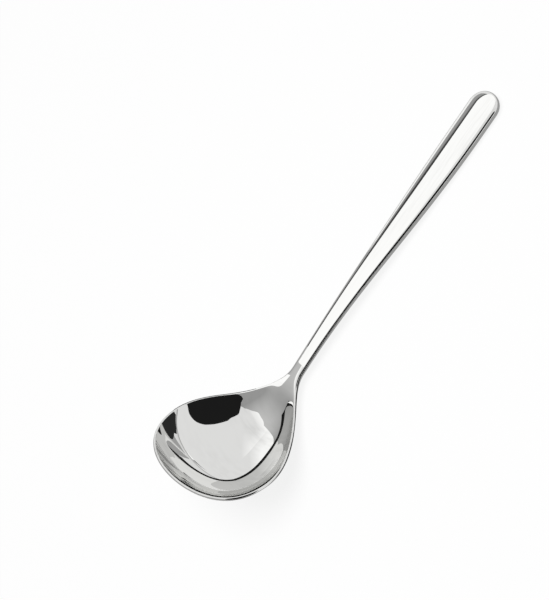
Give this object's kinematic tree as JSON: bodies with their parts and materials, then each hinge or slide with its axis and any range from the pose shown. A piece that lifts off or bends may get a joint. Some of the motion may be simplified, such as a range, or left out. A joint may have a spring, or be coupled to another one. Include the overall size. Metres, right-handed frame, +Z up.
{
  "type": "soup ladle",
  "caption": "Small polished stainless soup ladle: a deep teardrop bowl that rises through a narrow neck into a slim hollow handle with a rounded end.",
  "frame": {"origin": "centre of the bounding box at the table, with the ladle lying at rest on the back of its bowl and the end of its handle", "axes": "+X from the bowl's lip to the handle's end, +Z up from the table, Y across the bowl"},
  "size_m": [0.1998, 0.057, 0.0362],
  "materials": {
    "polished_steel": "mirror polished stainless steel",
    "tang_steel": "mill finish stainless steel",
    "weld_steel": "weld ground flush and polished"
  },
  "bodies": {
    "root": {"bowl": "polished_steel", "tang": "tang_steel", "handle_front_shell": "polished_steel", "handle_back_shell": "polished_steel", "seam_weld": "weld_steel", "neck_weld": "weld_steel"}
  },
  "joints": []
}
